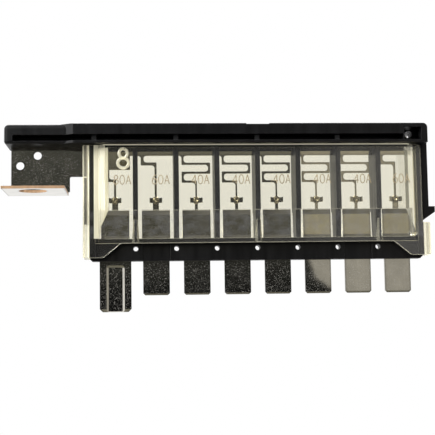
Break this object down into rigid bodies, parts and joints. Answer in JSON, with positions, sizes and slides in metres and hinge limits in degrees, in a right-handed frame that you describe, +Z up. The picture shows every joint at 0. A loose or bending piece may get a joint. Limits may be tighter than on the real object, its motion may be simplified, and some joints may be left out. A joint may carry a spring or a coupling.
{
  "type": "fuse block",
  "caption": "Row of blade fuses in a black rail housing with clear covers, a common bus, folded fuse links, a folded stud tab and a latch arm.",
  "frame": {"origin": "centre of the stud hole, in the middle of the tab's sheet", "axes": "+X along the row, from the stud tab to the latch; -Y is the front; +Z up, from the blade tips to the rail"},
  "size_m": [0.1304, 0.0268, 0.056],
  "materials": {
    "black_moulding": "fine moulded texture, black",
    "tinned_copper": "matte tin plating on copper, with bare copper on the sheared edges",
    "clear_cover": "clear moulding with a slight yellow cast",
    "cast_tin": "cast tin, softly shiny"
  },
  "bodies": {
    "root": {"housing": "black_moulding", "fuse_plate": "tinned_copper", "front_cover": "clear_cover", "rear_cover": "clear_cover", "tin_pellet_1": "cast_tin", "tin_pellet_2": "cast_tin", "tin_pellet_3": "cast_tin", "tin_pellet_4": "cast_tin", "tin_pellet_5": "cast_tin", "tin_pellet_6": "cast_tin", "tin_pellet_7": "cast_tin", "tin_pellet_8": "cast_tin"}
  },
  "joints": []
}
